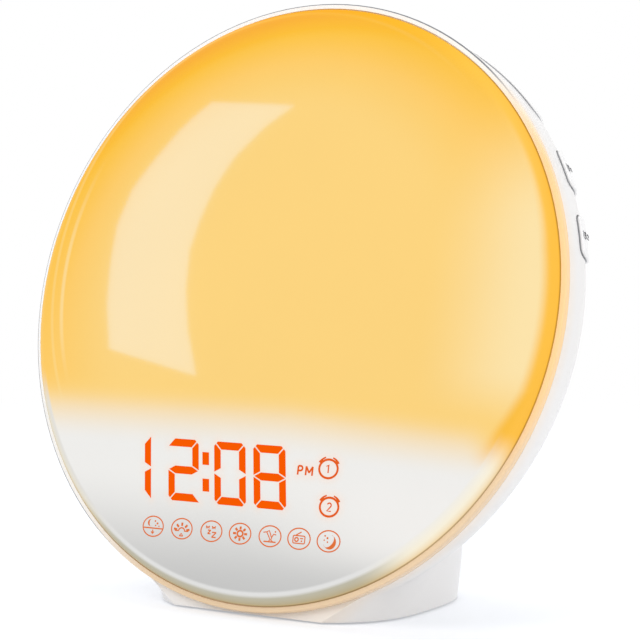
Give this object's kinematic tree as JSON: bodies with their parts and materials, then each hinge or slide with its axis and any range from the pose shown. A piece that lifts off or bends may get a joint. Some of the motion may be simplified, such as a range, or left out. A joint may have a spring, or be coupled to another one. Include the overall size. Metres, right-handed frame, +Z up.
{
  "type": "sunrise alarm clock",
  "caption": "bedside sunrise alarm clock with a round glowing dome face, an orange digit display low in the dome, press keys along the rim and a short oval pedestal",
  "frame": {"origin": "middle of the pedestal's footprint on the table, under the middle of the whole clock", "axes": "+X to the right of somebody who looks at the face, +Y away from them, to the back, +Z up; the face looks towards -Y and leans back"},
  "size_m": [0.172, 0.0801, 0.1684],
  "materials": {
    "housing_white": "gloss white moulded plastic",
    "ring_white": "gloss white moulded plastic",
    "diffuser": "translucent opal plastic lit from behind",
    "key_white": "gloss white moulded plastic",
    "tray_white": "matt white reflective plastic",
    "circuit_board": "green solder mask",
    "black_plastic": "matt black plastic",
    "led_lens": "yellow phosphor under clear resin",
    "light_guide": "translucent orange light guide",
    "film": "white translucent film",
    "screw_steel": "zinc plated steel",
    "contact_metal": "nickel plated",
    "cone_paper": "black paper cone",
    "foam": "black foam",
    "speaker_steel": "black painted steel",
    "magnet": "dark ferrite",
    "foot_rubber": "grey rubber",
    "cell_steel": "nickel plated steel",
    "component_black": "black resin"
  },
  "bodies": {
    "clock": {"base_plate": "housing_white", "base_plate_screws": "screw_steel", "case_screws": "screw_steel", "cell_contacts": "contact_metal", "coin_cell": "cell_steel", "display_board": "circuit_board", "display_film": "film", "display_frame": "black_plastic", "display_screws": "screw_steel", "display_segments": "light_guide", "front_diffuser": "diffuser", "front_ring": "ring_white", "key_board": "circuit_board", "key_board_screws": "screw_steel", "key_switches": "component_black", "light_board": "circuit_board", "light_board_screws": "screw_steel", "light_leds": "led_lens", "light_tray": "tray_white", "main_board": "circuit_board", "main_board_parts": "component_black", "main_board_screws": "screw_steel", "port_board": "circuit_board", "port_board_screws": "screw_steel", "power_inlet": "component_black", "rear_housing": "housing_white", "rubber_feet": "foot_rubber", "speaker_cone": "cone_paper", "speaker_frame": "speaker_steel", "speaker_gasket": "foam", "speaker_magnet": "magnet", "speaker_screws": "screw_steel", "tray_screws": "screw_steel", "usb_outlet": "contact_metal"},
    "snooze_bar_body": {"snooze_bar": "key_white", "snooze_bar_plunger": "black_plastic"},
    "upper_right_key_body": {"upper_right_key": "key_white", "upper_right_key_plunger": "black_plastic"},
    "lower_right_key_body": {"lower_right_key": "key_white", "lower_right_key_plunger": "black_plastic"},
    "upper_left_key_body": {"upper_left_key": "key_white", "upper_left_key_plunger": "black_plastic"},
    "lower_left_key_body": {"lower_left_key": "key_white", "lower_left_key_plunger": "black_plastic"},
    "battery_door_body": {"battery_door": "housing_white"}
  },
  "joints": [
    {"name": "snooze_bar_press", "type": "slide", "parent": "clock", "child": "snooze_bar_body", "axis": [0, -0.2924, -0.9563], "range_m": [0, 0.0006], "stiffness_N_per_m": 3000, "springref_m": -0.0002},
    {"name": "upper_right_key_press", "type": "slide", "parent": "clock", "child": "upper_right_key_body", "axis": [-0.878, -0.14, -0.4578], "range_m": [0, 0.0006], "stiffness_N_per_m": 2000, "springref_m": -0.0002},
    {"name": "lower_right_key_press", "type": "slide", "parent": "clock", "child": "lower_right_key_body", "axis": [-0.9646, -0.0771, -0.2523], "range_m": [0, 0.0006], "stiffness_N_per_m": 2000, "springref_m": -0.0002},
    {"name": "upper_left_key_press", "type": "slide", "parent": "clock", "child": "upper_left_key_body", "axis": [0.878, -0.14, -0.4578], "range_m": [0, 0.0006], "stiffness_N_per_m": 2000, "springref_m": -0.0002},
    {"name": "lower_left_key_press", "type": "slide", "parent": "clock", "child": "lower_left_key_body", "axis": [0.9646, -0.0771, -0.2523], "range_m": [0, 0.0006], "stiffness_N_per_m": 2000, "springref_m": -0.0002},
    {"name": "battery_door_turn", "type": "hinge", "parent": "clock", "child": "battery_door_body", "pos_m": [0, 0, 0.0017], "axis": [0, 0, 1], "range_deg": [0, 45]}
  ]
}
